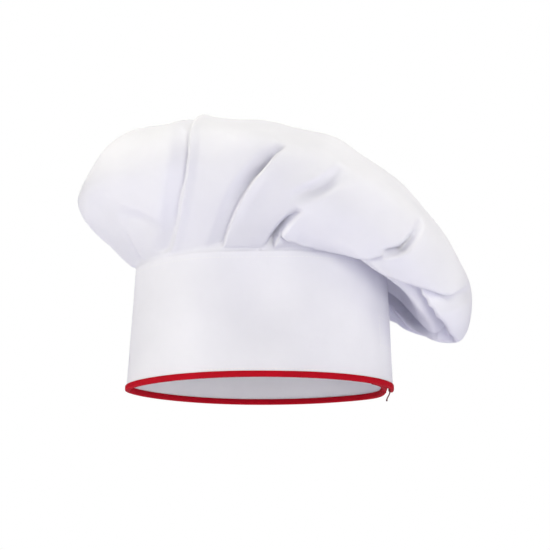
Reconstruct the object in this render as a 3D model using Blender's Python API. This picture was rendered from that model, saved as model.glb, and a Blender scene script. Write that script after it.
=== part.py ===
"""Chef's toque: a soft white crown sewn into a stiffened head band, with a red bound
rim and a hook-and-loop tab that closes the band at the back of the head.

Metres, +Z up. The origin is the middle of the head opening in the plane of the rim.
-X is the wearer's front, +X the back, where the band closes and the crown flops over.
Angles are in degrees round the head oval, from +X towards +Y."""

import math

import bmesh
import bpy
from mathutils import Vector

# Head band: an oval tube that narrows a little towards the crown
RIM_HALF_LENGTH = 0.1030
RIM_HALF_WIDTH = 0.0836
TOP_HALF_LENGTH = 0.0996
TOP_HALF_WIDTH = 0.0808
BAND_HEIGHT = 0.0960

# Thickness of each material, and the clearance between neighbouring layers
CLOTH = 0.0005
STIFFENER = 0.0006
CROWN_CLOTH = 0.0006
BINDING_CLOTH = 0.0006
TAPE = 0.0010
THREAD = 0.0004
GAP = 0.0003

# Depth of each layer behind the band's outer face
STIFFENER_DEPTH = CLOTH + GAP
FACING_DEPTH = STIFFENER_DEPTH + STIFFENER + GAP
STACK = FACING_DEPTH + CLOTH

# Heights of the band's parts above the rim
BINDING_HEIGHT = 0.0055
LAYER_BOTTOM = BINDING_CLOTH + GAP
STIFFENER_TOP = 0.0840
BINDING_STITCH_HEIGHT = 0.0080
SEAM_STITCH_HEIGHT = 0.0915

# Closure at the back: the band runs once round the head from its inner start to its outer
# end, and a tab goes on from the start and lies inside the end
BAND_START = 8.0
BAND_END = 363.0
STEP_ANGLE = 5.0
TAB_TIP = -28.0
TAB_HEIGHT = 0.0800
TAB_LIFT = 0.0008
TAB_CLEAR_ANGLE = 0.25
LAP_STEP = STACK + 2 * TAPE + 3 * GAP
LAP_FADE_END = 48.0
LOOP_TAPE_SPAN = (334.0, 361.0)
HOOK_TAPE_SPAN = (-24.0, -3.0)
TAPE_HEIGHTS = (0.030, 0.055)

# Crown: its seam allowance stands between the band's layers, and four outlines, each from
# the seam to the top, give the height and the reach from the middle of the opening
TUCK_DEPTH = STIFFENER_DEPTH
TUCK_BOTTOM = STIFFENER_TOP + 2 * GAP
TUCK_TOP = BAND_HEIGHT
LIP_HEIGHT = 0.0990
LIP_REACH = 0.0006
CROWN_FRONT = (
    (0.118, 0.110),
    (0.137, 0.126),
    (0.146, 0.147),
    (0.138, 0.174),
    (0.113, 0.199),
    (0.060, 0.215),
)
CROWN_BACK = (
    (0.114, 0.078),
    (0.126, 0.044),
    (0.155, 0.038),
    (0.166, 0.076),
    (0.149, 0.117),
    (0.105, 0.169),
)
CROWN_NEAR_SIDE = (
    (0.093, 0.108),
    (0.113, 0.122),
    (0.125, 0.143),
    (0.120, 0.167),
    (0.093, 0.186),
    (0.047, 0.201),
)
CROWN_FAR_SIDE = (
    (0.093, 0.108),
    (0.113, 0.122),
    (0.126, 0.144),
    (0.122, 0.170),
    (0.096, 0.191),
    (0.047, 0.206),
)
CROWN_LEAN = (0.003, 0.008, 0.014, 0.020, 0.028, 0.036)
CROWN_TOP = (0.041, 0.0, 0.209)
ROWS_PER_SPAN = 3

WHITE_CLOTH = (0.86, 0.87, 0.92)
WHITE_FELT = (0.80, 0.80, 0.82)
WHITE_TAPE = (0.84, 0.84, 0.87)
WHITE_THREAD = (0.90, 0.90, 0.93)
RED_BINDING = (0.52, 0.01, 0.03)


def clear_scene():
    for thing in list(bpy.data.objects):
        bpy.data.objects.remove(thing, do_unlink=True)


def make_material(name, colour, roughness):
    material = bpy.data.materials.new(name)
    material.use_nodes = True
    shader = material.node_tree.nodes["Principled BSDF"]
    shader.inputs["Base Color"].default_value = (*colour, 1.0)
    shader.inputs["Roughness"].default_value = roughness
    shader.inputs["Metallic"].default_value = 0.0
    return material


def lap_depth(angle):
    """How far the band stands inside its plain oval, so that its start passes inside its end."""
    share = (LAP_FADE_END - angle) / (LAP_FADE_END - BAND_START)
    share = min(max(share, 0.0), 1.0)
    return LAP_STEP * share * share * (3 - 2 * share)


def band_point(angle, height, depth):
    """A point at this depth behind the band's outer face; a negative depth is outside it."""
    rise = height / BAND_HEIGHT
    half_length = RIM_HALF_LENGTH + (TOP_HALF_LENGTH - RIM_HALF_LENGTH) * rise
    half_width = RIM_HALF_WIDTH + (TOP_HALF_WIDTH - RIM_HALF_WIDTH) * rise
    turn = math.radians(angle)
    on_face = Vector((half_length * math.cos(turn), half_width * math.sin(turn), height))
    outward = Vector((math.cos(turn) / half_length, math.sin(turn) / half_width, 0.0))
    return on_face - outward.normalized() * (depth + lap_depth(angle))


def angles_between(start, end):
    """Angles from start to end, about one step angle apart."""
    count = max(1, round((end - start) / STEP_ANGLE))
    return [start + (end - start) * index / count for index in range(count + 1)]


def rectangle(low, high, depth, thickness):
    """A section of the band as (height, depth) corners."""
    back = depth + thickness
    return [(low, depth), (high, depth), (high, back), (low, back)]


def folded_tape(low, high):
    """The U section of a binding that wraps the band's lower edge."""
    outside = -GAP
    inside = STACK + GAP
    return [
        (low, outside - BINDING_CLOTH),
        (low, inside + BINDING_CLOTH),
        (high, inside + BINDING_CLOTH),
        (high, inside),
        (low + BINDING_CLOTH, inside),
        (low + BINDING_CLOTH, outside),
        (high, outside),
        (high, outside - BINDING_CLOTH),
    ]


def sweep_section(shape, section, angles):
    """Adds one closed solid to a bmesh: a section carried round the band, with end caps."""
    rings = []
    for angle in angles:
        points = [band_point(angle, height, depth) for height, depth in section]
        rings.append([shape.verts.new(point) for point in points])
    for ring, following in zip(rings, rings[1:]):
        for side in range(len(ring)):
            ahead = (side + 1) % len(ring)
            shape.faces.new((ring[side], following[side], following[ahead], ring[ahead]))
    shape.faces.new(rings[0])
    shape.faces.new(reversed(rings[-1]))


def make_piece(name, shape, material):
    """Turns a bmesh into a named object with outward faces, smooth but for its edges."""
    bmesh.ops.recalc_face_normals(shape, faces=shape.faces)
    mesh = bpy.data.meshes.new(name)
    shape.to_mesh(mesh)
    shape.free()
    mesh.materials.append(material)
    mesh.shade_smooth()
    mesh.set_sharp_from_angle(angle=math.radians(35))
    piece = bpy.data.objects.new(name, mesh)
    bpy.context.collection.objects.link(piece)
    return piece


def make_swept(name, section, span, material):
    shape = bmesh.new()
    sweep_section(shape, section, angles_between(*span))
    return make_piece(name, shape, material)


def make_stitch_row(name, height, span, thread):
    """A row of lockstitch: its needle thread outside the band and its bobbin thread inside."""
    top = height + THREAD
    outside = rectangle(height, top, -GAP - THREAD, THREAD)
    inside = rectangle(height, top, STACK + GAP, THREAD)
    return [
        make_swept(name + "_needle_thread", outside, span, thread),
        make_swept(name + "_bobbin_thread", inside, span, thread),
    ]


def make_band(cloth, felt, red, thread, tape):
    span = (BAND_START, BAND_END)
    layers = (
        ("band_outer", LAYER_BOTTOM, BAND_HEIGHT - GAP, 0.0, CLOTH, cloth),
        ("band_interfacing", LAYER_BOTTOM, STIFFENER_TOP, STIFFENER_DEPTH, STIFFENER, felt),
        ("band_facing", LAYER_BOTTOM, BAND_HEIGHT - GAP, FACING_DEPTH, CLOTH, cloth),
    )
    for name, low, high, depth, thickness, material in layers:
        make_swept(name, rectangle(low, high, depth, thickness), span, material)
    make_swept("band_binding", folded_tape(0.0, BINDING_HEIGHT), span, red)
    make_stitch_row("binding", BINDING_STITCH_HEIGHT, span, thread)
    make_stitch_row("crown_seam", SEAM_STITCH_HEIGHT, span, thread)
    loop = rectangle(*TAPE_HEIGHTS, STACK + GAP, TAPE)
    make_swept("loop_tape", loop, LOOP_TAPE_SPAN, tape)


def make_hinge():
    """An empty whose Z axis is the fold line where the tab leaves the band, on its inner side."""
    inner_side = STACK + GAP + BINDING_CLOTH
    foot = band_point(BAND_START, 0.0, inner_side)
    head = band_point(BAND_START, TAB_HEIGHT, inner_side)
    hinge = bpy.data.objects.new("closure_tab_fold", None)
    bpy.context.collection.objects.link(hinge)
    hinge.location = foot
    hinge.rotation_euler = (head - foot).to_track_quat("Z", "Y").to_euler()
    return hinge


def hang_on(hinge, piece):
    """Gives a piece the hinge as its parent and its origin, without moving it."""
    piece.data.transform(hinge.matrix_basis.inverted())
    piece.parent = hinge


def make_tab(cloth, felt, red, thread, tape):
    hinge = make_hinge()
    span = (TAB_TIP, BAND_START - TAB_CLEAR_ANGLE)
    low = LAYER_BOTTOM + TAB_LIFT
    layers = (
        ("tab_outer", TAB_HEIGHT, 0.0, CLOTH, cloth),
        ("tab_interfacing", TAB_HEIGHT - GAP, STIFFENER_DEPTH, STIFFENER, felt),
        ("tab_facing", TAB_HEIGHT, FACING_DEPTH, CLOTH, cloth),
    )
    pieces = []
    for name, high, depth, thickness, material in layers:
        section = rectangle(low, high, depth, thickness)
        pieces.append(make_swept(name, section, span, material))
    wrap = folded_tape(TAB_LIFT, TAB_LIFT + BINDING_HEIGHT)
    pieces.append(make_swept("tab_binding", wrap, span, red))
    pieces += make_stitch_row("tab_binding", TAB_LIFT + BINDING_STITCH_HEIGHT, span, thread)
    hook = rectangle(*TAPE_HEIGHTS, -GAP - TAPE, TAPE)
    pieces.append(make_swept("hook_tape", hook, HOOK_TAPE_SPAN, tape))
    for piece in pieces:
        hang_on(hinge, piece)


def outline_point(row, angle):
    """A point of an outline row at an angle: the four outlines blended round the oval."""
    turn = math.radians(angle)
    across = math.cos(turn)
    along = math.sin(turn)
    double = math.cos(2 * turn)
    lean = CROWN_LEAN[row]
    back_reach, back_height = CROWN_BACK[row]
    front_reach, front_height = CROWN_FRONT[row]
    far_reach, far_height = CROWN_FAR_SIDE[row]
    near_reach, near_height = CROWN_NEAR_SIDE[row]
    shares = (
        (Vector((back_reach, 0.0, back_height)), 1 + 2 * across + double),
        (Vector((-front_reach, 0.0, front_height)), 1 - 2 * across + double),
        (Vector((lean, far_reach, far_height)), 1 + 2 * along - double),
        (Vector((lean, -near_reach, near_height)), 1 - 2 * along - double),
    )
    return sum((corner * share for corner, share in shares), Vector()) / 4


def spline_point(before, start, end, after, share):
    """A point on a smooth curve from start to end, with their neighbours giving its slope."""
    leave = (end - before) / 2
    arrive = (after - start) / 2
    square = share * share
    cube = square * share
    return (
        start * (2 * cube - 3 * square + 1)
        + leave * (cube - 2 * square + share)
        + end * (3 * square - 2 * cube)
        + arrive * (cube - square)
    )


def crown_column(angle):
    """Points of the crown's outer face at one angle, from its tucked edge to near its top."""
    tuck = [band_point(angle, height, TUCK_DEPTH) for height in (TUCK_BOTTOM, TUCK_TOP)]
    lip = band_point(angle, LIP_HEIGHT, -LIP_REACH)
    top = Vector(CROWN_TOP)
    guides = [tuck[1], lip]
    guides += [outline_point(row, angle) for row in range(len(CROWN_LEAN))]
    opposite = outline_point(len(CROWN_LEAN) - 1, angle + 180.0)
    guides += [top, opposite]
    points = list(tuck)
    for index in range(1, len(guides) - 2):
        for step in range(ROWS_PER_SPAN):
            share = step / ROWS_PER_SPAN
            points.append(spline_point(*guides[index - 1 : index + 3], share))
    return points


def make_crown(cloth):
    shape = bmesh.new()
    columns = []
    for angle in angles_between(BAND_START, BAND_END):
        columns.append([shape.verts.new(point) for point in crown_column(angle)])
    top = shape.verts.new(CROWN_TOP)
    for index, column in enumerate(columns):
        following = columns[(index + 1) % len(columns)]
        for row in range(len(column) - 1):
            shape.faces.new((column[row], following[row], following[row + 1], column[row + 1]))
        shape.faces.new((column[-1], following[-1], top))
    crown = make_piece("crown", shape, cloth)
    shell = crown.modifiers.new("cloth thickness", "SOLIDIFY")
    shell.thickness = CROWN_CLOTH
    shell.offset = -1.0
    return crown


def build():
    clear_scene()
    cloth = make_material("white_cloth", WHITE_CLOTH, 0.85)
    felt = make_material("white_interfacing", WHITE_FELT, 0.95)
    tape = make_material("white_tape", WHITE_TAPE, 0.90)
    thread = make_material("white_thread", WHITE_THREAD, 0.60)
    red = make_material("red_binding", RED_BINDING, 0.70)
    make_band(cloth, felt, red, thread, tape)
    make_tab(cloth, felt, red, thread, tape)
    make_crown(cloth)


build()
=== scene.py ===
import math

import bmesh
import bpy
import numpy as np
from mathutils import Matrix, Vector


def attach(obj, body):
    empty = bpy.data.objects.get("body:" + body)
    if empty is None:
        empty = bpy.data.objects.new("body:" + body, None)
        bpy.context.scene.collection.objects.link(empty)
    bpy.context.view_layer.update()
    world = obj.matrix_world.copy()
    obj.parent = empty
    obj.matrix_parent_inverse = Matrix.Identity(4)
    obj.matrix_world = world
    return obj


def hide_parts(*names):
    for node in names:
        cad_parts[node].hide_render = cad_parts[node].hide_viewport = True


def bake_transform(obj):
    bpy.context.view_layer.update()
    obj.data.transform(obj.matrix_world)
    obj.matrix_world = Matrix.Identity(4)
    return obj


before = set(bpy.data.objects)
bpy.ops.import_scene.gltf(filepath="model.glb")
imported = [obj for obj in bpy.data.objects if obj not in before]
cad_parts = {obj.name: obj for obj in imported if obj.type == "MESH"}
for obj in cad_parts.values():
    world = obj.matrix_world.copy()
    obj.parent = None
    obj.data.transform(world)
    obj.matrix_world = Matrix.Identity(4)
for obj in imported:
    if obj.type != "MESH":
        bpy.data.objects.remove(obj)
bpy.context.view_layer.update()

# ---------------------------------------------------------------------------------------
# Camera. It stands 1.2 m from the hat on the wearer's left, a little below the rim, and
# looks up, as at a hat held at eye height.
CAMERA_DISTANCE = 1.2
CAMERA_BELOW_RIM = 0.16
CAMERA_SIDE = 0.011
CAMERA_PITCH = 11.93
CAMERA_LENS = 100.9

camera_data = bpy.data.cameras.new("studio_camera")
camera_data.lens = CAMERA_LENS
camera_data.sensor_width = 36.0
camera = bpy.data.objects.new("studio_camera", camera_data)
camera.location = (CAMERA_SIDE, -CAMERA_DISTANCE, -CAMERA_BELOW_RIM)
camera.rotation_euler = (math.radians(90 + CAMERA_PITCH), 0.0, 0.0)
bpy.context.collection.objects.link(camera)
bpy.context.scene.camera = camera

# ---------------------------------------------------------------------------------------
# Studio. The floor lies well below the hat and is clear from underneath, because the camera
# looks up under the rim. To the camera it is near white, and to the hat it is a grey floor
# with a lavender glow. Six soft panels stand round the hat, and a faint lavender sky.
FLOOR_BELOW = 0.45
FLOOR_HALF = 6.0
FLOOR_COLOUR = (0.55, 0.55, 0.55, 1.0)
FLOOR_GLOW = (0.76, 0.74, 1.0, 1.0)
FLOOR_GLOW_STRENGTH = 0.48
FLOOR_SEEN = (0.96, 0.96, 0.965, 1.0)
SKY_LIGHT = (0.50, 0.46, 1.0, 1.0)
SKY_STRENGTH = 0.16
PANEL_AIM = (0.0, 0.0, 0.12)
# Panels: name, place, side in metres, watts and colour
PANELS = (
    ("left_panel", (-2.1, -0.35, 0.35), 0.8, 24.0, (1.0, 0.99, 0.75)),
    ("right_panel", (2.1, -0.45, 0.2), 0.8, 11.0, (1.0, 0.99, 0.76)),
    ("front_panel", (0.3, -2.2, 0.4), 0.7, 16.0, (1.0, 0.99, 0.78)),
    ("low_panel", (0.6, -1.9, -0.35), 0.5, 9.0, (1.0, 1.0, 0.84)),
    ("top_panel", (0.0, -0.4, 2.2), 1.2, 35.0, (1.0, 0.99, 0.83)),
    ("back_panel", (0.0, 2.0, 1.3), 1.3, 12.0, (1.0, 0.98, 0.82)),
)

floor_mesh = bpy.data.meshes.new("studio_floor")
floor_corners = [(x, y, -FLOOR_BELOW) for x, y in ((-1, -1), (1, -1), (1, 1), (-1, 1))]
floor_corners = [(x * FLOOR_HALF, y * FLOOR_HALF, z) for x, y, z in floor_corners]
floor_mesh.from_pydata(floor_corners, [], [(0, 1, 2, 3)])
studio_floor = bpy.data.objects.new("studio_floor", floor_mesh)
bpy.context.collection.objects.link(studio_floor)
floor_paint = bpy.data.materials.new("floor_paint")
floor_paint.use_nodes = True
floor_nodes = floor_paint.node_tree.nodes
floor_links = floor_paint.node_tree.links
floor_shader = floor_nodes["Principled BSDF"]
floor_shader.inputs["Base Color"].default_value = FLOOR_COLOUR
floor_shader.inputs["Roughness"].default_value = 0.9
floor_shader.inputs["Emission Color"].default_value = FLOOR_GLOW
floor_shader.inputs["Emission Strength"].default_value = FLOOR_GLOW_STRENGTH
floor_view = floor_nodes.new("ShaderNodeEmission")
floor_view.inputs["Color"].default_value = FLOOR_SEEN
floor_seen = floor_nodes.new("ShaderNodeLightPath")
floor_look = floor_nodes.new("ShaderNodeMixShader")
floor_links.new(floor_seen.outputs["Is Camera Ray"], floor_look.inputs[0])
floor_links.new(floor_shader.outputs[0], floor_look.inputs[1])
floor_links.new(floor_view.outputs[0], floor_look.inputs[2])
floor_side = floor_nodes.new("ShaderNodeNewGeometry")
floor_clear = floor_nodes.new("ShaderNodeBsdfTransparent")
floor_pick = floor_nodes.new("ShaderNodeMixShader")
floor_links.new(floor_side.outputs["Backfacing"], floor_pick.inputs[0])
floor_links.new(floor_look.outputs[0], floor_pick.inputs[1])
floor_links.new(floor_clear.outputs[0], floor_pick.inputs[2])
floor_links.new(floor_pick.outputs[0], floor_nodes["Material Output"].inputs["Surface"])
floor_mesh.materials.append(floor_paint)

for panel_name, place, side, power, colour in PANELS:
    lamp = bpy.data.lights.new(panel_name, "AREA")
    lamp.shape = "SQUARE"
    lamp.size = side
    lamp.energy = power
    lamp.color = colour
    panel = bpy.data.objects.new(panel_name, lamp)
    panel.location = place
    aim = Vector(PANEL_AIM) - Vector(place)
    panel.rotation_euler = aim.to_track_quat("-Z", "Y").to_euler()
    bpy.context.collection.objects.link(panel)

world = bpy.data.worlds.new("studio_sky")
bpy.context.scene.world = world
world.use_nodes = True
sky_nodes = world.node_tree.nodes
sky_links = world.node_tree.links
sky = sky_nodes["Background"]
sky.inputs["Color"].default_value = SKY_LIGHT
sky.inputs["Strength"].default_value = SKY_STRENGTH
backdrop = sky_nodes.new("ShaderNodeBackground")
backdrop.inputs["Color"].default_value = (1.0, 1.0, 1.0, 1.0)
backdrop.inputs["Strength"].default_value = 1.0
seen = sky_nodes.new("ShaderNodeLightPath")
pick = sky_nodes.new("ShaderNodeMixShader")
sky_links.new(seen.outputs["Is Camera Ray"], pick.inputs[0])
sky_links.new(sky.outputs[0], pick.inputs[1])
sky_links.new(backdrop.outputs[0], pick.inputs[2])
sky_links.new(pick.outputs[0], sky_nodes["World Output"].inputs["Surface"])
bpy.context.scene.view_settings.view_transform = "Standard"

# ---------------------------------------------------------------------------------------
# Band cloth. The outer layer and the facing are strips of white poly-cotton, carried round
# an oval that narrows upwards. The start passes inside the end at the back of the head.
RIM_HALF = (0.1030, 0.0836)
TOP_HALF = (0.0996, 0.0808)
BAND_HEIGHT = 0.0960
BAND_START, BAND_END = 8.0, 363.0
LAP_STEP = 0.0051
LAP_FADE_END = 48.0
LAP_RESUMES = 300.0
FRONT_FLARE = 0.0026
FRONT_PINCH = 0.24
BACK_CORNER = (26.0, 15.0, 0.0048)
CLOTH = 0.0005
STIFFENER_DEPTH = 0.0008
FACING_DEPTH = 0.0017
STACK = 0.0022
# Soft swells and hollows of the band: angle at the top, how far that turns on the way down,
# spread in degrees, and millimetres outwards
BAND_SWELLS = (
    (238.0, 4.0, 12.0, 1.0),
    (266.0, 10.0, 17.0, -8.0),
    (300.0, 4.0, 15.0, 1.5),
    (205.0, -6.0, 12.0, -1.0),
    (335.0, 5.0, 10.0, -0.8),
    (60.0, 8.0, 14.0, -1.6),
    (100.0, -5.0, 15.0, 1.0),
    (140.0, 8.0, 14.0, -1.8),
)


def smooth_step(value):
    value = np.clip(value, 0.0, 1.0)
    return value * value * (3 - 2 * value)


def turn_gap(angle, centre):
    """The signed difference between two directions, in degrees from -180 to 180."""
    return (np.asarray(angle) - centre + 180.0) % 360.0 - 180.0


def band_point(angle, height, depth):
    """Points round the band, depth behind its outer face, with the band's soft swells."""
    angle, height, depth = np.broadcast_arrays(
        np.asarray(angle, float), np.asarray(height, float), np.asarray(depth, float)
    )
    rise = height / BAND_HEIGHT
    half_length = RIM_HALF[0] + (TOP_HALF[0] - RIM_HALF[0]) * rise
    half_width = RIM_HALF[1] + (TOP_HALF[1] - RIM_HALF[1]) * rise
    turn = np.radians(angle)
    outward = np.stack([np.cos(turn) / half_length, np.sin(turn) / half_width], -1)
    outward /= np.linalg.norm(outward, axis=-1, keepdims=True)
    lap = LAP_STEP * smooth_step((LAP_FADE_END - angle) / (LAP_FADE_END - BAND_START))
    lap = np.where(angle > LAP_RESUMES, 0.0, lap)
    swell = np.zeros_like(turn)
    for centre, slant, spread, reach in BAND_SWELLS:
        gap = turn_gap(angle, centre + slant * (1 - rise))
        swell += reach * 0.001 * np.exp(-((gap / spread) ** 2))
    swell *= np.sin(np.pi * np.clip(rise, 0.0, 1.0) * 0.80)
    flare = FRONT_FLARE * (1 - rise) * np.clip(-np.cos(turn), 0.0, 1.0) ** 2
    corner = np.exp(-((turn_gap(angle, BACK_CORNER[0]) / BACK_CORNER[1]) ** 2))
    out = swell + flare + BACK_CORNER[2] * (1 - rise) * corner - depth - lap
    across = half_length * np.cos(turn) + outward[..., 0] * out
    pinch = FRONT_PINCH * (1 - 0.6 * rise) * smooth_step((0.2 - np.cos(turn)) / 0.5)
    narrowed = np.sin(turn) * np.abs(np.sin(turn) + 1e-9) ** pinch
    along = half_width * narrowed + outward[..., 1] * out
    return np.stack([across, along, height], -1)


def shader_nodes(name, colour, roughness):
    """A new material, its node tree and its principled shader."""
    material = bpy.data.materials.new(name)
    material.use_nodes = True
    tree = material.node_tree
    shader = tree.nodes["Principled BSDF"]
    shader.inputs["Base Color"].default_value = (*colour, 1.0)
    shader.inputs["Roughness"].default_value = roughness
    return material, tree, shader


def add_math(tree, operation, first, second=None):
    """A maths node on sockets or numbers; gives its result."""
    node = tree.nodes.new("ShaderNodeMath")
    node.operation = operation
    for socket, value in zip(node.inputs, (first, second)):
        if isinstance(value, (int, float)):
            socket.default_value = value
        elif value is not None:
            tree.links.new(value, socket)
    return node.outputs[0]


def add_noise(tree, place, scale, detail):
    node = tree.nodes.new("ShaderNodeTexNoise")
    node.inputs["Scale"].default_value = scale
    node.inputs["Detail"].default_value = detail
    tree.links.new(place, node.inputs["Vector"])
    return node.outputs["Fac"]


def add_bump(tree, shader, heights):
    """Joins bump heights in metres, given as (socket, depth) pairs, to the shader."""
    normal = None
    for height, depth in heights:
        node = tree.nodes.new("ShaderNodeBump")
        node.inputs["Strength"].default_value = 1.0
        node.inputs["Distance"].default_value = depth
        tree.links.new(height, node.inputs["Height"])
        if normal is not None:
            tree.links.new(normal, node.inputs["Normal"])
        normal = node.outputs["Normal"]
    tree.links.new(normal, shader.inputs["Normal"])


def vary_colour(tree, shader, amount, low, high):
    """Blends two colours by a 0 to 1 socket into the shader's base colour."""
    mix = tree.nodes.new("ShaderNodeMix")
    mix.data_type = "RGBA"
    mix.inputs["A"].default_value = (*low, 1.0)
    mix.inputs["B"].default_value = (*high, 1.0)
    tree.links.new(amount, mix.inputs["Factor"])
    tree.links.new(mix.outputs["Result"], shader.inputs["Base Color"])


# Marks on every cloth: noise scale, detail and depth in metres
CREASES = (42.0, 3.0, 0.0010)
SLUBS = (900.0, 2.0, 0.00012)
TONE_SCALE, TONE_DETAIL = 24.0, 3.0
WEAVE_TONE = 0.12
CLOTH_SPECULAR = 0.10


def woven_cloth(name, low, high, thread, depth, slant, sheen, roughness=0.9):
    """Cloth woven of threads this far apart; slant leans the weave into a twill."""
    material, tree, shader = shader_nodes(name, high, roughness)
    shader.inputs["Sheen Weight"].default_value = sheen
    shader.inputs["Sheen Roughness"].default_value = 0.5
    shader.inputs["Specular IOR Level"].default_value = CLOTH_SPECULAR
    place = tree.nodes.new("ShaderNodeTexCoord")
    split = tree.nodes.new("ShaderNodeSeparateXYZ")
    tree.links.new(place.outputs["UV"], split.inputs[0])
    turn = math.pi / thread
    warp = add_math(tree, "MULTIPLY", split.outputs["X"], turn)
    leaning = add_math(tree, "MULTIPLY", split.outputs["Y"], turn)
    weft = add_math(tree, "ADD", leaning, add_math(tree, "MULTIPLY", warp, slant))
    warp_wave = add_math(tree, "SINE", warp)
    weft_wave = add_math(tree, "SINE", weft)
    weave = add_math(tree, "MULTIPLY", warp_wave, weft_wave)
    where = place.outputs["Object"]
    creases = add_noise(tree, where, *CREASES[:2])
    slubs = add_noise(tree, where, *SLUBS[:2])
    patches = add_noise(tree, where, TONE_SCALE, TONE_DETAIL)
    add_bump(tree, shader, ((weave, depth), (slubs, SLUBS[2]), (creases, CREASES[2])))
    tone = add_math(tree, "ADD", add_math(tree, "MULTIPLY", weave, WEAVE_TONE), patches)
    vary_colour(tree, shader, tone, low, high)
    return material


def link_mesh(name, points, faces, material, places=None):
    """A smooth-shaded object at the origin, with places as its UV map in metres."""
    mesh = bpy.data.meshes.new(name)
    mesh.from_pydata(np.asarray(points).reshape(-1, 3).tolist(), [], faces)
    mesh.materials.append(material)
    mesh.shade_smooth()
    if places is not None:
        corners = np.empty(len(mesh.loops), int)
        mesh.loops.foreach_get("vertex_index", corners)
        uv_map = mesh.uv_layers.new(name="cloth")
        uv_map.uv.foreach_set("vector", np.asarray(places)[corners].astype(np.float32).ravel())
    piece = bpy.data.objects.new(name, mesh)
    bpy.context.collection.objects.link(piece)
    return piece


def face_outwards(piece):
    """Turns every face of a closed mesh outwards."""
    shape = bmesh.new()
    shape.from_mesh(piece.data)
    bmesh.ops.recalc_face_normals(shape, faces=shape.faces)
    shape.to_mesh(piece.data)
    shape.free()


def sweep(name, section, span, step, material):
    """A closed strip: a section of (height, depth) corners carried round the band."""
    count = max(2, round((span[1] - span[0]) / step))
    angles = np.linspace(span[0], span[1], count + 1)
    heights, depths = np.array(section).T
    points = band_point(angles[:, None], heights[None, :], depths[None, :])
    around = len(section)
    faces = []
    for ring in range(count):
        for corner in range(around):
            ahead = (corner + 1) % around
            start, following = ring * around, (ring + 1) * around
            faces.append((start + corner, following + corner, following + ahead, start + ahead))
    half = around // 2
    for start in (0, count * around):
        for corner in range(half - 1):
            across = around - 1 - corner
            faces.append((start + corner, start + corner + 1, start + across - 1, start + across))
    run = np.radians(angles) * sum(RIM_HALF) / 2
    side = np.concatenate([[0.0], np.cumsum(np.hypot(np.diff(heights), np.diff(depths)))])
    places = np.stack(np.broadcast_arrays(run[:, None], side[None, :]), -1).reshape(-1, 2)
    piece = link_mesh(name, points, faces, material, places)
    face_outwards(piece)
    piece.data.set_sharp_from_angle(angle=math.radians(60))
    return piece


def strip_section(low, high, depth, thickness, rows):
    """A thin upright section, up its outer side and down its inner side."""
    heights = np.linspace(low, high, rows)
    up = [(height, depth) for height in heights]
    return up + [(height, depth + thickness) for height in heights[::-1]]


CLOTH_LOW = (0.79, 0.79, 0.88)
CLOTH_HIGH = (0.875, 0.872, 0.965)
# Facing inside the band and tab: white cloth painted brighter and less blue to cancel lavender shade
FACING_PAINTED_TINT_LOW = (0.82, 0.815, 0.83)
FACING_PAINTED_TINT_HIGH = (0.90, 0.895, 0.91)
LAYER_BOTTOM = 0.0009
STIFFENER = 0.0006
STIFFENER_TOP = 0.0840
BAND_FLAT = (0.600, 0.110)
FACING_FLAT = (0.600, 0.110)
INTERFACING_FLAT = (0.590, 0.084)

white_cloth = woven_cloth("white_cloth", CLOTH_LOW, CLOTH_HIGH, 0.00024, 0.00006, 0.0, 0.25)
# The facing's cloth, in the painted tint that cancels the lavender shade inside the band
facing_painted_tint_cloth = woven_cloth("white_cloth_painted_inside_tint", FACING_PAINTED_TINT_LOW, FACING_PAINTED_TINT_HIGH, 0.00024, 0.00006, 0.0, 0.25)
white_felt, felt_tree, felt_shader = shader_nodes("white_interfacing", (0.82, 0.82, 0.84), 0.95)
felt_place = felt_tree.nodes.new("ShaderNodeTexCoord").outputs["Object"]
felt_fibres = add_noise(felt_tree, felt_place, 1400.0, 5.0)
add_bump(felt_tree, felt_shader, ((felt_fibres, 0.0004),))
vary_colour(felt_tree, felt_shader, felt_fibres, (0.74, 0.74, 0.76), (0.88, 0.88, 0.90))

band_span = (BAND_START, BAND_END)
outer_top = BAND_HEIGHT - 0.0003
outer_section = strip_section(LAYER_BOTTOM, outer_top, 0.0, CLOTH, 22)
band_cloth = sweep("band_outer_cloth", outer_section, band_span, 1.2, white_cloth)
felt_section = strip_section(LAYER_BOTTOM, STIFFENER_TOP, STIFFENER_DEPTH, STIFFENER, 14)
band_felt = sweep("band_stiffener", felt_section, band_span, 1.5, white_felt)
facing_section = strip_section(LAYER_BOTTOM, outer_top, FACING_DEPTH, CLOTH, 22)
band_lining = sweep("band_facing_cloth", facing_section, band_span, 1.2, facing_painted_tint_cloth)
for layer, node, slot, flat in (
    (band_cloth, "band_outer", "white_cloth", BAND_FLAT),
    (band_felt, "band_interfacing", "white_interfacing", INTERFACING_FLAT),
    (band_lining, "band_facing", "white_cloth", FACING_FLAT),
):
    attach(layer, "hat")
    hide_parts(node)

# The outer end of the band is closed by a narrow strip of the cloth turned round it, sewn down
# the height of the band, so that no raw edges of the layers show at the closure.
HEM_WIDTH = 2.6
HEM_CLOTH = 0.0004
HEM_CLEAR = 0.00005
HEM_HEIGHTS = (0.0050, 0.0950)
HEM_TURN = 0.2
HEM_NOSE = 0.25
HEM_EASE = 0.0001
HEM_RUN_PER_DEGREE = 0.0016
hem_layers = (-HEM_CLEAR - HEM_CLOTH, -HEM_CLEAR, STACK + HEM_CLEAR, STACK + HEM_CLEAR + HEM_CLOTH)
hem_end = BAND_END + 0.10
hem_edge, hem_turn, hem_nose = hem_end - HEM_WIDTH, hem_end - HEM_TURN, hem_end + HEM_NOSE
hem_path = [(hem_edge, hem_layers[0]), (hem_turn, hem_layers[0] - HEM_EASE)]
hem_path += [(hem_nose, 0.0003), (hem_nose, STACK - 0.0003)]
hem_path += [(hem_turn, hem_layers[3] + HEM_EASE), (hem_edge, hem_layers[3])]
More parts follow.
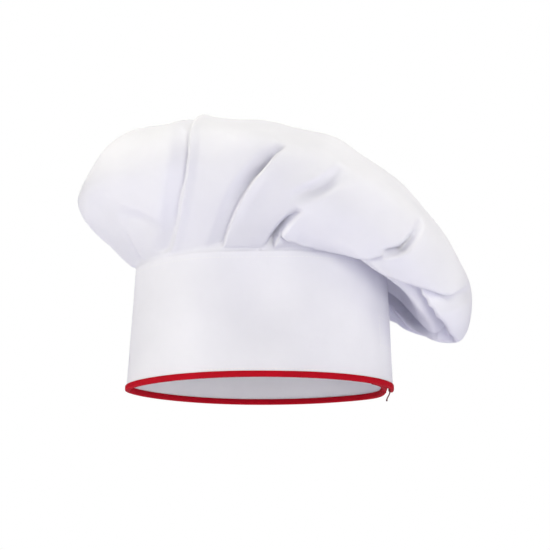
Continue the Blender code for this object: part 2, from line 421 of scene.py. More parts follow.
hem_path += [(hem_edge, hem_layers[2]), (hem_turn, hem_layers[2])]
hem_path += [(hem_end, STACK - 0.0005), (hem_end, 0.0005)]
hem_path += [(hem_turn, hem_layers[1]), (hem_edge, hem_layers[1])]
hem_rows = np.linspace(*HEM_HEIGHTS, 19)
hem_angles = np.array([corner[0] for corner in hem_path])
hem_depths = np.array([corner[1] for corner in hem_path])
hem_points = band_point(hem_angles[None, :], hem_rows[:, None], hem_depths[None, :])
hem_around = len(hem_path)
hem_faces = []
for row in range(len(hem_rows) - 1):
    for corner in range(hem_around):
        ahead = (corner + 1) % hem_around
        low_row, high_row = row * hem_around, (row + 1) * hem_around
        hem_faces.append((low_row + corner, low_row + ahead, high_row + ahead, high_row + corner))
for low_row in (0, (len(hem_rows) - 1) * hem_around):
    for corner in range(hem_around // 2 - 1):
        across = hem_around - 1 - corner
        hem_faces.append(
            (low_row + corner, low_row + corner + 1, low_row + across - 1, low_row + across)
        )
hem_steps = np.hypot(np.diff(hem_angles) * HEM_RUN_PER_DEGREE, np.diff(hem_depths))
hem_run = np.cumsum(np.concatenate([[0.0], hem_steps]))
hem_places = np.stack(np.broadcast_arrays(hem_run[None, :], hem_rows[:, None]), -1).reshape(-1, 2)
band_hem = link_mesh("band_end_hem", hem_points, hem_faces, white_cloth, hem_places)
face_outwards(band_hem)
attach(band_hem, "hat")

# ---------------------------------------------------------------------------------------
# Crown. One round piece of light poly-cotton, knife-pleated into the band. It puffs up at
# the front and falls over at the back; each pleat opens above the seam into a soft fold.
CROWN_FRONT = (
    (0.113, 0.111),
    (0.132, 0.129),
    (0.1455, 0.151),
    (0.137, 0.176),
    (0.112, 0.200),
    (0.060, 0.215),
)
CROWN_BACK = (
    (0.114, 0.080),
    (0.128, 0.050),
    (0.159, 0.042),
    (0.1655, 0.075),
    (0.147, 0.117),
    (0.104, 0.168),
)
CROWN_NEAR_SIDE = (
    (0.093, 0.108),
    (0.113, 0.122),
    (0.125, 0.143),
    (0.120, 0.166),
    (0.093, 0.184),
    (0.047, 0.199),
)
CROWN_FAR_SIDE = (
    (0.093, 0.108),
    (0.113, 0.122),
    (0.126, 0.144),
    (0.122, 0.170),
    (0.096, 0.191),
    (0.047, 0.205),
)
CROWN_LEAN = (0.003, 0.008, 0.014, 0.020, 0.028, 0.036)
CROWN_TOP = (0.041, 0.0, 0.207)
CROWN_DISC_RADIUS = 0.26
CROWN_CLOTH = 0.0006
SEAM_HOLD = 0.035
DRIFT_REACH = 1.02
PLEAT_OVERLAP, PLEAT_EDGE, PLEAT_ROUNDNESS = 1.5, 1.6, 0.5
RIPPLE_SEED = 11
RIPPLES_EACH = 4
# Faint ripples all over the crown: wavelength in metres and depth in millimetres
RIPPLES = ((0.070, 0.5), (0.050, 0.35), (0.034, 0.18), (0.024, 0.08))

# Pleats at the seam: angle, drift in degrees as the fold climbs, reach up the crown, rise of
# the upper edge and its spread, sink of the side it covers and its spread, all in millimetres
PLEATS = (
    (322.0, 8.0, 0.12, 2.0, 8.0, 4.0, 7.0),
    (340.0, 4.0, 0.12, 2.0, 8.0, 4.0, 7.0),
    (33.0, -10.0, 0.55, 2.5, 14.0, 6.0, 10.0),
    (56.0, -10.0, 0.44, 3.0, 12.0, 6.0, 9.0),
    (80.0, -12.0, 0.58, 3.0, 15.0, 9.0, 11.0),
    (104.0, -14.0, 0.80, 3.5, 14.0, 6.0, 16.0),
    (130.0, -14.0, 0.42, 3.0, 12.0, 7.0, 10.0),
    (156.0, -8.0, 0.70, 3.0, 14.0, 5.0, 16.0),
    (181.0, 4.0, 0.36, 2.0, 12.0, 3.0, 10.0),
    (203.0, 10.0, 0.20, 0.8, 12.0, 2.0, 9.0),
)
# Folds with a shape of their own: a path of (angle, share of the way up, strength), the side
# that rises, then rise, spread, sink, spread, overlap and edge in millimetres, and roundness
FOLDS = (
    (
        (
            (225, 0.00, 0.5), (228, 0.04, 0.5), (236, 0.16, 0.7), (240, 0.27, 0.8),
            (244, 0.38, 1.0), (244, 0.51, 1.0), (238, 0.68, 0.8), (231, 0.80, 0.4), (228, 0.88, 0.0),
        ),
        (1, 3.6, 10.0, 9.0, 17.0, 0.5, 3.8, 0.7),
    ),
    (
        (
            (253, 0.00, 0.3), (254, 0.04, 0.3), (258, 0.19, 0.3), (262, 0.32, 0.8),
            (266, 0.41, 1.0), (268, 0.49, 0.9), (270, 0.55, 0.0),
        ),
        (1, 3.0, 16.0, 17.0, 13.0, 2.5, 1.5, 1.0),
    ),
    (
        (
            (276, 0.00, 1.0), (276, 0.05, 1.0), (277, 0.16, 0.9), (278, 0.23, 0.6),
            (280, 0.31, 0.0),
        ),
        (1, 3.5, 12.0, 15.0, 9.0, 2.5, 1.3, 0.6),
    ),
    (
        (
            (274, 0.34, 0.0), (277, 0.40, 0.7), (280, 0.45, 1.0), (283, 0.52, 1.0),
            (286, 0.60, 0.0),
        ),
        (-1, 2.0, 14.0, 9.0, 13.0, 0.0, 3.5, 1.0),
    ),
    (
        (
            (276, 0.15, 0.0), (280, 0.14, 0.9), (286, 0.13, 1.0), (292, 0.14, 1.0),
            (298, 0.15, 1.0), (302, 0.21, 0.9), (305, 0.28, 0.7), (307, 0.34, 0.0),
        ),
        (-1, 5.0, 26.0, 14.0, 10.0, 7.0, 1.2, 0.6),
    ),
    (
        (
            (308, 0.37, 0.8), (309, 0.43, 1.0), (310, 0.48, 0.8), (312, 0.54, 0.5),
            (314, 0.60, 0.0),
        ),
        (1, 2.5, 12.0, 13.0, 9.0, 2.0, 1.4, 0.9),
    ),
    (
        (
            (306, 0.05, 0.5), (309, 0.17, 0.9), (314, 0.25, 1.0), (319, 0.32, 1.0),
            (324, 0.39, 1.0), (328, 0.43, 1.0), (333, 0.50, 0.7), (340, 0.54, 0.3), (345, 0.56, 0.0),
        ),
        (-1, 1.5, 16.0, 11.0, 14.0, 1.0, 1.8, 0.6),
    ),
    (
        (
            (30, 0.06, 0.6), (25, 0.13, 1.0), (17, 0.21, 1.0), (4, 0.28, 1.0),
            (0, 0.34, 0.9), (-3, 0.42, 0.0),
        ),
        (1, 3.0, 14.0, 8.0, 11.0, 2.0, 1.4, 0.9),
    ),
    (
        (
            (322, 0.34, 0.0), (326, 0.34, 0.8), (332, 0.36, 1.0), (340, 0.37, 1.0),
            (356, 0.38, 0.9), (362, 0.39, 0.0),
        ),
        (-1, 3.5, 12.0, 23.0, 15.0, 1.5, 1.6, 1.0),
    ),
    (
        (
            (210, 0.28, 0.0), (217, 0.25, 1.0), (222, 0.23, 1.0), (228, 0.15, 0.0),
        ),
        (-1, 0.6, 20.0, 3.5, 20.0, 0.0, 9.0, 1.0),
    ),
    (
        (
            (18, 0.46, 0.0), (10, 0.55, 1.0), (6, 0.66, 1.0), (10, 0.80, 0.0),
        ),
        (1, 2.5, 16.0, 5.0, 20.0, 0.0, 4.0, 0.8),
    ),
    (
        (
            (60, 0.40, 0.0), (50, 0.50, 1.0), (44, 0.62, 1.0), (48, 0.76, 0.0),
        ),
        (1, 2.5, 16.0, 5.0, 18.0, 0.0, 3.5, 0.8),
    ),
    (
        (
            (340, 0.58, 0.0), (335, 0.66, 1.0), (326, 0.76, 1.0), (310, 0.86, 0.0),
        ),
        (-1, 1.5, 20.0, 4.0, 18.0, 0.0, 5.0, 1.0),
    ),
)
COLUMNS = 480
# Rings of the crown: share of the way to the top where each stretch ends, its rings, and
# how many columns it keeps, which halves towards the top
RING_STRETCHES = ((0.12, 20, 480), (0.64, 52, 480), (0.82, 11, 240), (0.92, 5, 120), (0.98, 3, 60))


# Where the folds at the seam start, and how far round the crown each one drifts
DRIFT_TABLE = [(pleat[0], pleat[1]) for pleat in PLEATS]
DRIFT_TABLE += [(225.0, 19.0), (253.0, 15.0), (275.0, 5.0), (303.0, 8.0)]
DRIFT_TABLE.sort()
DRIFT_SEAMS = [row[0] for row in DRIFT_TABLE]
DRIFTS = [row[1] for row in DRIFT_TABLE]


def crown_outline(row, angle):
    turn = np.radians(angle)
    across, along, double = np.cos(turn), np.sin(turn), np.cos(2 * turn)
    lean = CROWN_LEAN[row]
    corners = (
        ((CROWN_BACK[row][0], 0.0, CROWN_BACK[row][1]), 1 + 2 * across + double),
        ((-CROWN_FRONT[row][0], 0.0, CROWN_FRONT[row][1]), 1 - 2 * across + double),
        ((lean, CROWN_FAR_SIDE[row][0], CROWN_FAR_SIDE[row][1]), 1 + 2 * along - double),
        ((lean, -CROWN_NEAR_SIDE[row][0], CROWN_NEAR_SIDE[row][1]), 1 - 2 * along - double),
    )
    return sum(np.array(corner) * share[..., None] for corner, share in corners) / 4


def crown_surface(angle, share):
    """Points of the smooth crown, at angles round it and shares of the way from seam to top."""
    angle, share = np.broadcast_arrays(np.asarray(angle, float), np.asarray(share, float))
    rows = len(CROWN_LEAN)
    guides = [
        seam_points(angle % 360.0, BAND_HEIGHT, STIFFENER_DEPTH),
        seam_points(angle % 360.0, BAND_HEIGHT + 0.0025, -0.0004),
        *[crown_outline(row, angle) for row in range(rows)],
        np.broadcast_to(np.array(CROWN_TOP), (*angle.shape, 3)),
        crown_outline(rows - 1, angle + 180.0),
    ]
    guides = np.stack(guides, 0)
    place = np.clip(share, 0.0, 0.99999) * (rows + 1)
    span = place.astype(int)
    part = (place - span)[..., None]
    index = np.indices(angle.shape)
    before, start, end, after = (guides[(span + k, *index)] for k in range(4))
    leave, arrive = (end - before) / 2, (after - start) / 2
    square, cube = part**2, part**3
    return (
        start * (2 * cube - 3 * square + 1)
        + leave * (cube - 2 * square + part)
        + end * (3 * square - 2 * cube)
        + arrive * (cube - square)
    )


def pleat_drift(angle, share):
    """How far the pleats carry the cloth round the crown as they climb, in degrees."""
    return np.interp(angle, DRIFT_SEAMS, DRIFTS, period=360.0) * np.sin(np.pi * share / DRIFT_REACH)


def fold_line(path):
    """A smooth line of (angle, share, strength) through a fold's points."""
    line = np.array(path, float)
    for _ in range(3):
        cut = [line[0]]
        for start, end in zip(line, line[1:]):
            cut += [start * 0.75 + end * 0.25, start * 0.25 + end * 0.75]
        line = np.array([*cut, line[-1]])
    steps = np.linspace(0.0, len(line) - 1.0, 60)
    return np.stack([np.interp(steps, np.arange(len(line)), column) for column in line.T], -1)


def swell_shape(distance, spread, roundness):
    """Full at the fold and nothing at its spread, with a sharp or a round crest."""
    part = np.clip(distance / spread, 0.0, 1.0)
    return (1 - part) ** 2 * (1 + 2 * part * roundness)


def fold_cloth(base, outward, path, side, sizes):
    """How far one fold moves every point of the cloth."""
    rise, rise_spread, sink, sink_spread, overlap, edge, roundness = sizes
    line = fold_line(path)
    spine = crown_surface(line[:, 0], line[:, 1])
    tangent = np.gradient(spine, axis=0)
    tangent /= np.linalg.norm(tangent, axis=1, keepdims=True)
    reach = 0.001 * max(rise_spread, sink_spread) + 0.004
    low, high = spine.min(0) - reach, spine.max(0) + reach
    near = np.where(((base > low) & (base < high)).all(1))[0]
    gaps = base[near, None, :] - spine[None, :, :]
    closest = (gaps**2).sum(-1).argmin(1)
    gap = gaps[np.arange(len(near)), closest]
    across = np.cross(tangent[closest], outward[near])
    across /= np.maximum(np.linalg.norm(across, axis=1, keepdims=True), 1e-9)
    offset = (gap * across).sum(-1) * 1000.0 * side
    beyond = np.abs((gap * tangent[closest]).sum(-1)) * 1000.0
    strength = line[closest, 2] * smooth_step(1 - (beyond - 3.0) / 6.0)
    above = smooth_step((offset + edge) / (2 * edge))
    away = np.sqrt(np.maximum((gap**2).sum(-1) * 1e6 - beyond**2, 0.0))
    lifted = rise * swell_shape(away, rise_spread, roundness)
    sunk = sink * swell_shape(away, sink_spread, roundness)
    height = (above * lifted - (1 - above) * sunk) * strength
    slide = above * overlap * swell_shape(away, rise_spread * 0.6, 0.0) * strength
    moved = np.zeros_like(base)
    moved[near] = 0.001 * (outward[near] * height[:, None] - across * (slide * side)[:, None])
    return moved


def crown_points(angle, share):
    """Points of the folded crown."""
    moved = angle + pleat_drift(angle, share)
    base = crown_surface(moved, share)
    sideways = crown_surface(moved + 0.5, share) - crown_surface(moved - 0.5, share)
    upward = crown_surface(moved, share + 0.004) - crown_surface(moved, share - 0.004)
    outward = np.cross(sideways, upward)
    outward /= np.maximum(np.linalg.norm(outward, axis=-1, keepdims=True), 1e-12)
    shift = np.zeros_like(base)
    for seam, drift, reach, rise, rise_spread, sink, sink_spread in PLEATS:
        climb = np.linspace(0.0, 1.0, 6)
        strength = np.interp(climb, (0.0, 0.5, 1.0), (0.8, 1.0, 0.0))
        angles = seam + drift * np.sin(np.pi * climb * reach / DRIFT_REACH)
        path = np.stack([angles, climb * reach, strength], -1)
        crest = (PLEAT_OVERLAP, PLEAT_EDGE, PLEAT_ROUNDNESS)
        sizes = (rise, rise_spread, sink, sink_spread, *crest)
        shift += fold_cloth(base, outward, path, 1, sizes)
    for path, (side, *sizes) in FOLDS:
        shift += fold_cloth(base, outward, path, side, sizes)
    chance = np.random.default_rng(RIPPLE_SEED)
    for wave, depth in RIPPLES:
        for _ in range(RIPPLES_EACH):
            way = chance.normal(size=3)
            way *= 2 * np.pi / (wave * np.linalg.norm(way))
            ripple = np.sin(base @ way + chance.uniform(0.0, 6.28))
            shift += outward * (0.001 * depth * ripple)[:, None]
    held = smooth_step(share / SEAM_HOLD)
    return base + shift * held[:, None]


def column_angles(count):
    """Angles round the crown, closer together at the pleats."""
    fine = np.linspace(0.0, 360.0, 7201)
    weight = np.ones_like(fine)
    for seam in DRIFT_SEAMS:
        weight += 1.6 * np.exp(-((turn_gap(fine, seam) / 4.0) ** 2))
    total = np.concatenate([[0.0], np.cumsum((weight[1:] + weight[:-1]) / 2)])
    return np.interp(np.arange(count) / count * total[-1], total, fine)


def seam_points(angle, height, depth):
    """Points along the crown seam, which steps inwards where the band's start lies inside."""
    inner = band_point(angle, height, depth)
    outer = band_point(angle + 360.0, height, depth)
    inside = smooth_step((angle - 3.0) / 5.0)[..., None]
    return outer + (inner - outer) * inside


def crown_grid():
    """The angle and share of every ring, with half the columns at each stretch."""
    angles = column_angles(COLUMNS)
    rings = []
    low = 0.0
    for stretch_end, ring_count, kept in RING_STRETCHES:
        chosen = angles[:: COLUMNS // kept]
        shares = low + (stretch_end - low) * np.arange(ring_count) / ring_count
        rings += [(chosen, share) for share in shares]
        low = stretch_end
    return angles, rings


def join_rings(counts):
    """Faces between rings, each with as many points as the one below it or half as many."""
    faces = []
    start = 0
    for count, kept in zip(counts, counts[1:]):
        above = start + count
        if kept == count:
            for i in range(count):
                j = (i + 1) % count
                faces.append((start + i, start + j, above + j, above + i))
        else:
            for i in range(kept):
                a, b, c = (start + (2 * i + k) % count for k in range(3))
                d, e = above + i, above + (i + 1) % kept
                faces += [(a, b, d), (b, e, d), (b, c, e)]
        start = above
    last = counts[-1]
    top = start + last
    faces += [(start + i, start + (i + 1) % last, top) for i in range(last)]
    return faces


seam_angles, crown_rings = crown_grid()
ring_angles = np.concatenate([ring[0] for ring in crown_rings])
ring_shares = np.concatenate([np.full(len(ring[0]), ring[1]) for ring in crown_rings])
folded = crown_points(ring_angles, ring_shares)
tucked = [
    seam_points(seam_angles, BAND_HEIGHT - drop, STIFFENER_DEPTH)
    for drop in (0.0100, 0.0050, 0.0005)
]
crown_counts = [COLUMNS] * len(tucked) + [len(ring[0]) for ring in crown_rings]
crown_all = np.concatenate([*tucked, folded, [CROWN_TOP]])
crown_turns = np.radians(np.concatenate([seam_angles] * len(tucked) + [ring_angles, [0.0]]))
crown_radii = CROWN_DISC_RADIUS * (1 - np.concatenate([np.zeros(3 * COLUMNS), ring_shares, [1.0]]))
crown_places = np.stack([np.cos(crown_turns), np.sin(crown_turns)], -1) * crown_radii[:, None]
crown = link_mesh("crown_cloth", crown_all, join_rings(crown_counts), white_cloth, crown_places)
shell = crown.modifiers.new("cloth thickness", "SOLIDIFY")
shell.thickness = CROWN_CLOTH
shell.offset = -1.0
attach(crown, "hat")
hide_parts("crown")

# ---------------------------------------------------------------------------------------
# Binding. Red twill tape folded round the lower edge of the band, both its edges turned
# under, and sewn through with one row of lockstitch just above it.
BINDING_HEIGHT = 0.0046
BINDING_CLOTH = 0.0006
BINDING_GAP = 0.0003
BINDING_PUFF = 0.00015
BINDING_EASE = 0.0001
BINDING_SKIN = 0.00002
RED_LOW = (0.38, 0.001, 0.009)
RED_HIGH = (0.60, 0.002, 0.017)


def binding_section(low, high):
    """A folded tape round the layers: its outer face and then its inner face."""
    outside = -BINDING_GAP - BINDING_CLOTH
    inside = STACK + BINDING_GAP + BINDING_CLOTH
    middle = (outside + inside) / 2
    puff, ease = BINDING_PUFF, BINDING_EASE
    skin = [(high, outside + ease), (high - 0.0004, outside - puff)]
    skin += [(high - 0.0016, outside - puff), (low + 0.0016, outside - ease)]
    turns = np.radians(np.linspace(0.0, 180.0, 9))
    half = (inside - outside) / 2
    skin += [(low + 0.0012 * (1 - math.sin(t)), middle - half * math.cos(t)) for t in turns]
    skin += [(low + 0.0016, inside + ease), (high - 0.0016, inside + puff)]
    skin += [(high - 0.0004, inside + puff), (high, inside - ease)]
    lining = []
    for height, depth in skin[::-1]:
        shrunk = middle + (depth - middle) * (half - BINDING_CLOTH + BINDING_SKIN) / (half + puff)
        lining.append((max(height - BINDING_SKIN, low + BINDING_CLOTH), shrunk))
    return skin + lining


red_cloth = woven_cloth("red_binding", RED_LOW, RED_HIGH, 0.00045, 0.00012, 1.0, 0.0, 0.7)
red_section = binding_section(0.0, BINDING_HEIGHT)
band_tape = sweep("band_rim_binding", red_section, band_span, 0.8, red_cloth)
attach(band_tape, "hat")
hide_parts("band_binding")

# ---------------------------------------------------------------------------------------
# Closure tab. The band's start goes on as a tab of the same layers inside the outer end. The
# cloth layers bend from the band into it.
TAB_TIP = -28.0
TAB_ROOT = BAND_START
TAB_BEND = 3.5
TAB_HEIGHT = 0.0800
TAB_LIFT = 0.0008
TAB_CLOTH_FLAT = (0.056, 0.086)
TAB_FELT_FLAT = (0.052, 0.079)
TAB_BINDING_FLAT = (0.050, 0.0160)

tab_span = (TAB_TIP, TAB_ROOT)
tab_bottom = LAYER_BOTTOM + TAB_LIFT
tab_fixed = band_point(TAB_ROOT, TAB_HEIGHT / 2, STACK / 2).tolist()
tab_free = band_point(TAB_ROOT - TAB_BEND, TAB_HEIGHT / 2, STACK / 2).tolist()
tab_outer = strip_section(tab_bottom, TAB_HEIGHT, 0.0, CLOTH, 18)
tab_felt = strip_section(tab_bottom, TAB_HEIGHT - 0.0003, STIFFENER_DEPTH, STIFFENER, 14)
tab_lining = strip_section(tab_bottom, TAB_HEIGHT, FACING_DEPTH, CLOTH, 18)
tab_edge = binding_section(TAB_LIFT, TAB_LIFT + BINDING_HEIGHT)
for node, section, material, slot, flat in (
    ("tab_outer", tab_outer, white_cloth, "white_cloth", TAB_CLOTH_FLAT),
    ("tab_interfacing", tab_felt, white_felt, "white_interfacing", TAB_FELT_FLAT),
    ("tab_facing", tab_lining, facing_painted_tint_cloth, "white_cloth", TAB_CLOTH_FLAT),
    ("tab_binding", tab_edge, red_cloth, "red_binding", TAB_BINDING_FLAT),
):
    layer = sweep(node + "_layer", section, tab_span, 0.75, material)
    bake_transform(layer)
    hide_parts(node)

# ---------------------------------------------------------------------------------------
# Hook and loop tapes. Nylon tapes 25 mm wide: the soft loop side is sewn inside the band's
# outer end, and the stiff hook side is sewn to the outside of the tab.
TAPE = 0.0010
TAPE_GAP = 0.0003
TAPE_HEIGHTS = (0.030, 0.055)
LOOP_SPAN = (334.0, 361.0)
HOOK_SPAN = (-24.0, -3.0)
LOOP_FLAT = (0.042, 0.026)
HOOK_FLAT = (0.032, 0.026)


def tape_section(low, high, near_side, far_side):
    """A tape's section with its long edges rounded over."""
    edge = 0.0003
    up = [(low, near_side + edge), (low + edge, near_side)]
    up += [(height, near_side) for height in np.linspace(low + 0.001, high - 0.001, 8)]
    up += [(high - edge, near_side), (high, near_side + edge)]
    down = [(high, far_side - edge), (high - edge, far_side)]
    down += [(height, far_side) for height in np.linspace(high - 0.001, low + 0.001, 8)]
    return up + down + [(low + edge, far_side), (low, far_side - edge)]


def pile_tape(name, scale, depth, low, high):
    """Tape with a pile of tiny loops or hooks."""
    material, tree, shader = shader_nodes(name, high, 0.85)
    place = tree.nodes.new("ShaderNodeTexCoord").outputs["UV"]
    pile = tree.nodes.new("ShaderNodeTexVoronoi")
    pile.inputs["Scale"].default_value = scale
    tree.links.new(place, pile.inputs["Vector"])
    fuzz = add_noise(tree, place, scale * 0.5, 4.0)
    add_bump(tree, shader, ((pile.outputs["Distance"], depth), (fuzz, depth * 0.6)))
    vary_colour(tree, shader, fuzz, low, high)
    return material


loop_pile = pile_tape("white_tape", 1300.0, 0.0004, (0.74, 0.74, 0.78), (0.90, 0.90, 0.92))
hook_pile = pile_tape("white_hook_tape", 800.0, 0.0006, (0.70, 0.70, 0.73), (0.88, 0.88, 0.90))
loop_near = STACK + TAPE_GAP
loop_section = tape_section(*TAPE_HEIGHTS, loop_near, loop_near + TAPE)
loop_piece = sweep("loop_side_tape", loop_section, LOOP_SPAN, 1.0, loop_pile)
hook_section = tape_section(*TAPE_HEIGHTS, -TAPE_GAP - TAPE, -TAPE_GAP)
hook_piece = sweep("hook_side_tape", hook_section, HOOK_SPAN, 1.0, hook_pile)
for piece, body, node, flat in (
    (loop_piece, "hat", "loop_tape", LOOP_FLAT),
    (hook_piece, "closure_tab", "hook_tape", HOOK_FLAT),
):
    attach(piece, body)
    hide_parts(node)

# ---------------------------------------------------------------------------------------
# Stitching. Every row is lockstitch in white polyester thread: one stitch every 3 mm, the
# needle thread outside and the bobbin thread inside, pulled a little into the cloth.
STITCH_SPACING = 0.0030
STITCH_LENGTH = 0.0022
THREAD_WIDTH = 0.00036
STITCH_UNEVENNESS = 0.12
STITCH_SEED = 5
THREAD_LIFT = 0.00006
HEM_THREAD_LIFT = 0.0001
BINDING_ROW = 0.0062
SEAM_ROW = 0.0915
HEM_ROW_INSET = 1.9
HEM_ROW_HEIGHTS = (0.0090, 0.0935)
TAB_ROW_INSET = 0.0020
TAB_TIP_ROW_INSET = 1.2
TAB_TIP_ROW_START = 0.0100


def stitch_tree():
    """Geometry Nodes that lay one thread stitch at every spacing along a guide line."""
    tree = bpy.data.node_groups.new("stitches along a line", "GeometryNodeTree")
    face = tree.interface
    face.new_socket("Geometry", in_out="INPUT", socket_type="NodeSocketGeometry")
    for label, value in (
        ("Spacing", STITCH_SPACING),
        ("Stitch Length", STITCH_LENGTH),
        ("Thread Width", THREAD_WIDTH),
        ("Unevenness", STITCH_UNEVENNESS),
    ):
        socket = face.new_socket(label, in_out="INPUT", socket_type="NodeSocketFloat")
        socket.default_value = value
    seed = face.new_socket("Seed", in_out="INPUT", socket_type="NodeSocketInt")
    seed.default_value = STITCH_SEED
    face.new_socket("Thread", in_out="INPUT", socket_type="NodeSocketMaterial")
    face.new_socket("Geometry", in_out="OUTPUT", socket_type="NodeSocketGeometry")
    nodes, links = tree.nodes, tree.links
    given = nodes.new("NodeGroupInput")
    result = nodes.new("NodeGroupOutput")
    line = nodes.new("GeometryNodeMeshToCurve")
    links.new(given.outputs["Geometry"], line.inputs["Mesh"])
    spread = nodes.new("GeometryNodeResampleCurve")
    spread.mode = "LENGTH"
    links.new(line.outputs["Curve"], spread.inputs["Curve"])
    links.new(given.outputs["Spacing"], spread.inputs["Length"])
    bead = nodes.new("GeometryNodeMeshUVSphere")
    bead.inputs["Segments"].default_value = 6
    bead.inputs["Rings"].default_value = 5
    bead.inputs["Radius"].default_value = 0.5
    along = nodes.new("GeometryNodeInputTangent")
    turned = nodes.new("FunctionNodeAlignRotationToVector")
    turned.axis = "Z"
    links.new(along.outputs["Tangent"], turned.inputs["Vector"])
    sizes = nodes.new("ShaderNodeCombineXYZ")
    links.new(given.outputs["Thread Width"], sizes.inputs["X"])
    links.new(given.outputs["Thread Width"], sizes.inputs["Y"])
    links.new(given.outputs["Stitch Length"], sizes.inputs["Z"])
    chance = nodes.new("FunctionNodeRandomValue")
    chance.data_type = "FLOAT"
    least = nodes.new("ShaderNodeMath")
    least.operation = "SUBTRACT"
    least.inputs[0].default_value = 1.0
    links.new(given.outputs["Unevenness"], least.inputs[1])
    low_socket = next(x for x in chance.inputs if x.name == "Min" and x.enabled)
    high_socket = next(x for x in chance.inputs if x.name == "Max" and x.enabled)
    links.new(least.outputs[0], low_socket)
    high_socket.default_value = 1.0
    links.new(given.outputs["Seed"], chance.inputs["Seed"])
    scaled = nodes.new("ShaderNodeVectorMath")
    scaled.operation = "SCALE"
    links.new(sizes.outputs[0], scaled.inputs[0])
    drawn = next(x for x in chance.outputs if x.enabled)
    links.new(drawn, scaled.inputs["Scale"])
    laid = nodes.new("GeometryNodeInstanceOnPoints")
    links.new(spread.outputs["Curve"], laid.inputs["Points"])
    links.new(bead.outputs["Mesh"], laid.inputs["Instance"])
    links.new(turned.outputs["Rotation"], laid.inputs["Rotation"])
    links.new(scaled.outputs["Vector"], laid.inputs["Scale"])
    real = nodes.new("GeometryNodeRealizeInstances")
    links.new(laid.outputs["Instances"], real.inputs["Geometry"])
    dressed = nodes.new("GeometryNodeSetMaterial")
    links.new(real.outputs["Geometry"], dressed.inputs["Geometry"])
    links.new(given.outputs["Thread"], dressed.inputs["Material"])
    links.new(dressed.outputs["Geometry"], result.inputs["Geometry"])
    return tree


def stitch_lines(name, lines, tree, thread):
    """One mesh of stitches along lines of points, grown by the node tree and then kept."""
    points = np.concatenate(lines)
    edges = []
    start = 0
    for line in lines:
        edges += [(start + k, start + k + 1) for k in range(len(line) - 1)]
        start += len(line)
    guide = bpy.data.meshes.new(name + "_guide")
    guide.from_pydata(points.tolist(), edges, [])
    piece = bpy.data.objects.new(name, guide)
    bpy.context.collection.objects.link(piece)
    grow = piece.modifiers.new("stitches", "NODES")
    grow.node_group = tree
    given = [item for item in tree.interface.items_tree if item.in_out == "INPUT"]
    labels = {item.name: item.identifier for item in given}
    grow[labels["Spacing"]] = STITCH_SPACING
    grow[labels["Stitch Length"]] = STITCH_LENGTH
    grow[labels["Thread Width"]] = THREAD_WIDTH
    grow[labels["Seed"]] = STITCH_SEED
    grow[labels["Thread"]] = thread
    bpy.context.view_layer.update()
    ready = piece.evaluated_get(bpy.context.evaluated_depsgraph_get())
    kept = bpy.data.meshes.new_from_object(ready)
    kept.name = name
    piece.modifiers.remove(grow)
    piece.data = kept
    bpy.data.meshes.remove(guide)
    kept.shade_smooth()
    return piece


def round_row(span, height, depth):
    count = max(2, round((span[1] - span[0]) / 0.8))
    return band_point(np.linspace(span[0], span[1], count + 1), height, depth)


def upright_row(angle, heights, depth):
    return band_point(angle, np.linspace(heights[0], heights[1], 24), depth)


def tape_rows(span, heights, depth):
    """Four rows of stitches just inside the edges of a tape."""
    inset_angle, inset = 0.9, 0.0016
    low, high = heights[0] + inset, heights[1] - inset
    narrow = (span[0] + inset_angle, span[1] - inset_angle)
    rows = [round_row(narrow, low, depth), round_row(narrow, high, depth)]
    rows += [upright_row(narrow[0], (low, high), depth), upright_row(narrow[1], (low, high), depth)]
    return rows


white_thread, thread_tree, thread_shader = shader_nodes("white_thread", (0.90, 0.90, 0.93), 0.5)
thread_place = thread_tree.nodes.new("ShaderNodeTexCoord").outputs["Object"]
thread_plies = add_noise(thread_tree, thread_place, 2600.0, 2.0)
add_bump(thread_tree, thread_shader, ((thread_plies, 0.0002),))
vary_colour(thread_tree, thread_shader, thread_plies, (0.84, 0.84, 0.88), (0.95, 0.95, 0.97))
thread_shader.inputs["Sheen Weight"].default_value = 0.2

OUTSIDE = -THREAD_LIFT
INSIDE = STACK + THREAD_LIFT
stitches = stitch_tree()
sewn_span = (BAND_START + 0.4, BAND_END - 0.5)
hem_row = BAND_END - HEM_ROW_INSET
hat_rows = [
    round_row(sewn_span, BINDING_ROW, OUTSIDE),
    round_row(sewn_span, BINDING_ROW, INSIDE),
    round_row(sewn_span, SEAM_ROW, OUTSIDE),
    round_row(sewn_span, SEAM_ROW, INSIDE),
    upright_row(hem_row, HEM_ROW_HEIGHTS, hem_layers[0] - HEM_THREAD_LIFT),
    upright_row(hem_row, HEM_ROW_HEIGHTS, hem_layers[3] + HEM_THREAD_LIFT),
    *tape_rows(LOOP_SPAN, TAPE_HEIGHTS, OUTSIDE),
    *tape_rows(LOOP_SPAN, TAPE_HEIGHTS, loop_near + TAPE + THREAD_LIFT),
]
hat_stitches = stitch_lines("hat_stitches", hat_rows, stitches, white_thread)
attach(hat_stitches, "hat")
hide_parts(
    "binding_needle_thread",
    "binding_bobbin_thread",
    "crown_seam_needle_thread",
    "crown_seam_bobbin_thread",
)
tab_sewn = (TAB_TIP + 0.8, TAB_ROOT - 0.4)
tab_row_top = TAB_HEIGHT - TAB_ROW_INSET
tip_row = TAB_TIP + TAB_TIP_ROW_INSET
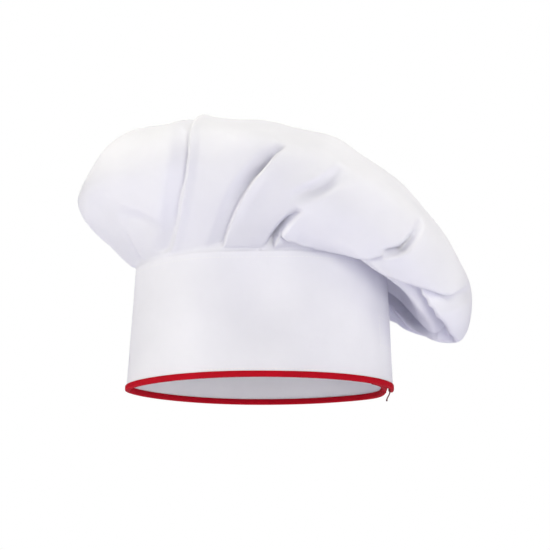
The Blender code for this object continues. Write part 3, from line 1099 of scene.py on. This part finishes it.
tab_rows = [
    round_row(tab_sewn, TAB_LIFT + BINDING_ROW, OUTSIDE),
    round_row(tab_sewn, TAB_LIFT + BINDING_ROW, INSIDE),
    round_row(tab_sewn, tab_row_top, OUTSIDE),
    round_row(tab_sewn, tab_row_top, INSIDE),
    upright_row(tip_row, (TAB_TIP_ROW_START, tab_row_top), OUTSIDE),
    upright_row(tip_row, (TAB_TIP_ROW_START, tab_row_top), INSIDE),
    *tape_rows(HOOK_SPAN, TAPE_HEIGHTS, -TAPE_GAP - TAPE - THREAD_LIFT),
    *tape_rows(HOOK_SPAN, TAPE_HEIGHTS, INSIDE),
]
tab_stitches = stitch_lines("tab_stitches", tab_rows, stitches, white_thread)
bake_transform(tab_stitches)
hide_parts("tab_binding_needle_thread", "tab_binding_bobbin_thread")

# ---------------------------------------------------------------------------------------
# Thread end. A short loose end of dark red thread hangs from the inside of the binding near
# the lap. It waves a little and is slightly frayed at its tip.
THREAD_END_ANGLE = 350.0
THREAD_END_LENGTH = 0.0105
THREAD_END_RADIUS = 0.00055
THREAD_END_SIDES = 8
THREAD_END_RINGS = 28
THREAD_END_WAVE = 0.0011
THREAD_END_WAVE_TURN = 5.0
THREAD_END_DRIFT = (0.0006, 0.0016)
THREAD_END_TWIST = 0.5
FRAY_SWELL = 0.35
FRAY_STARTS = 0.85

end_material, end_tree, end_shader = shader_nodes("red_thread", (0.12, 0.003, 0.006), 0.6)
end_place = end_tree.nodes.new("ShaderNodeTexCoord").outputs["Object"]
end_plies = add_noise(end_tree, end_place, 2400.0, 2.0)
add_bump(end_tree, end_shader, ((end_plies, 0.0002),))
vary_colour(end_tree, end_shader, end_plies, (0.07, 0.002, 0.004), (0.16, 0.004, 0.008))
end_root = band_point(THREAD_END_ANGLE, 0.0012, STACK + BINDING_GAP)
end_share = np.linspace(0.0, 1.0, THREAD_END_RINGS)
end_wave = THREAD_END_WAVE * np.sin(end_share * THREAD_END_WAVE_TURN)
end_line = np.stack(
    [
        end_root[0] + end_wave - THREAD_END_DRIFT[0] * end_share,
        end_root[1] - THREAD_END_DRIFT[1] * end_share**2,
        end_root[2] - THREAD_END_LENGTH * end_share,
    ],
    -1,
)
end_points = []
for ring, (centre, share) in enumerate(zip(end_line, end_share)):
    fray = FRAY_SWELL * smooth_step((share - FRAY_STARTS) / (1 - FRAY_STARTS))
    radius = THREAD_END_RADIUS * (1.0 + fray)
    for side in range(THREAD_END_SIDES):
        turn = 2 * math.pi * side / THREAD_END_SIDES + THREAD_END_TWIST * ring
        end_points.append(centre + radius * np.array([math.cos(turn), math.sin(turn), 0.0]))
end_faces = []
for ring in range(THREAD_END_RINGS - 1):
    for side in range(THREAD_END_SIDES):
        low, high = ring * THREAD_END_SIDES, (ring + 1) * THREAD_END_SIDES
        after = (side + 1) % THREAD_END_SIDES
        end_faces.append((low + side, low + after, high + after, high + side))
end_faces.append(tuple(range(THREAD_END_SIDES)))
end_faces.append(tuple(range(len(end_points) - THREAD_END_SIDES, len(end_points)))[::-1])
thread_end = link_mesh("thread_end", end_points, end_faces, end_material)
face_outwards(thread_end)
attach(thread_end, "hat")
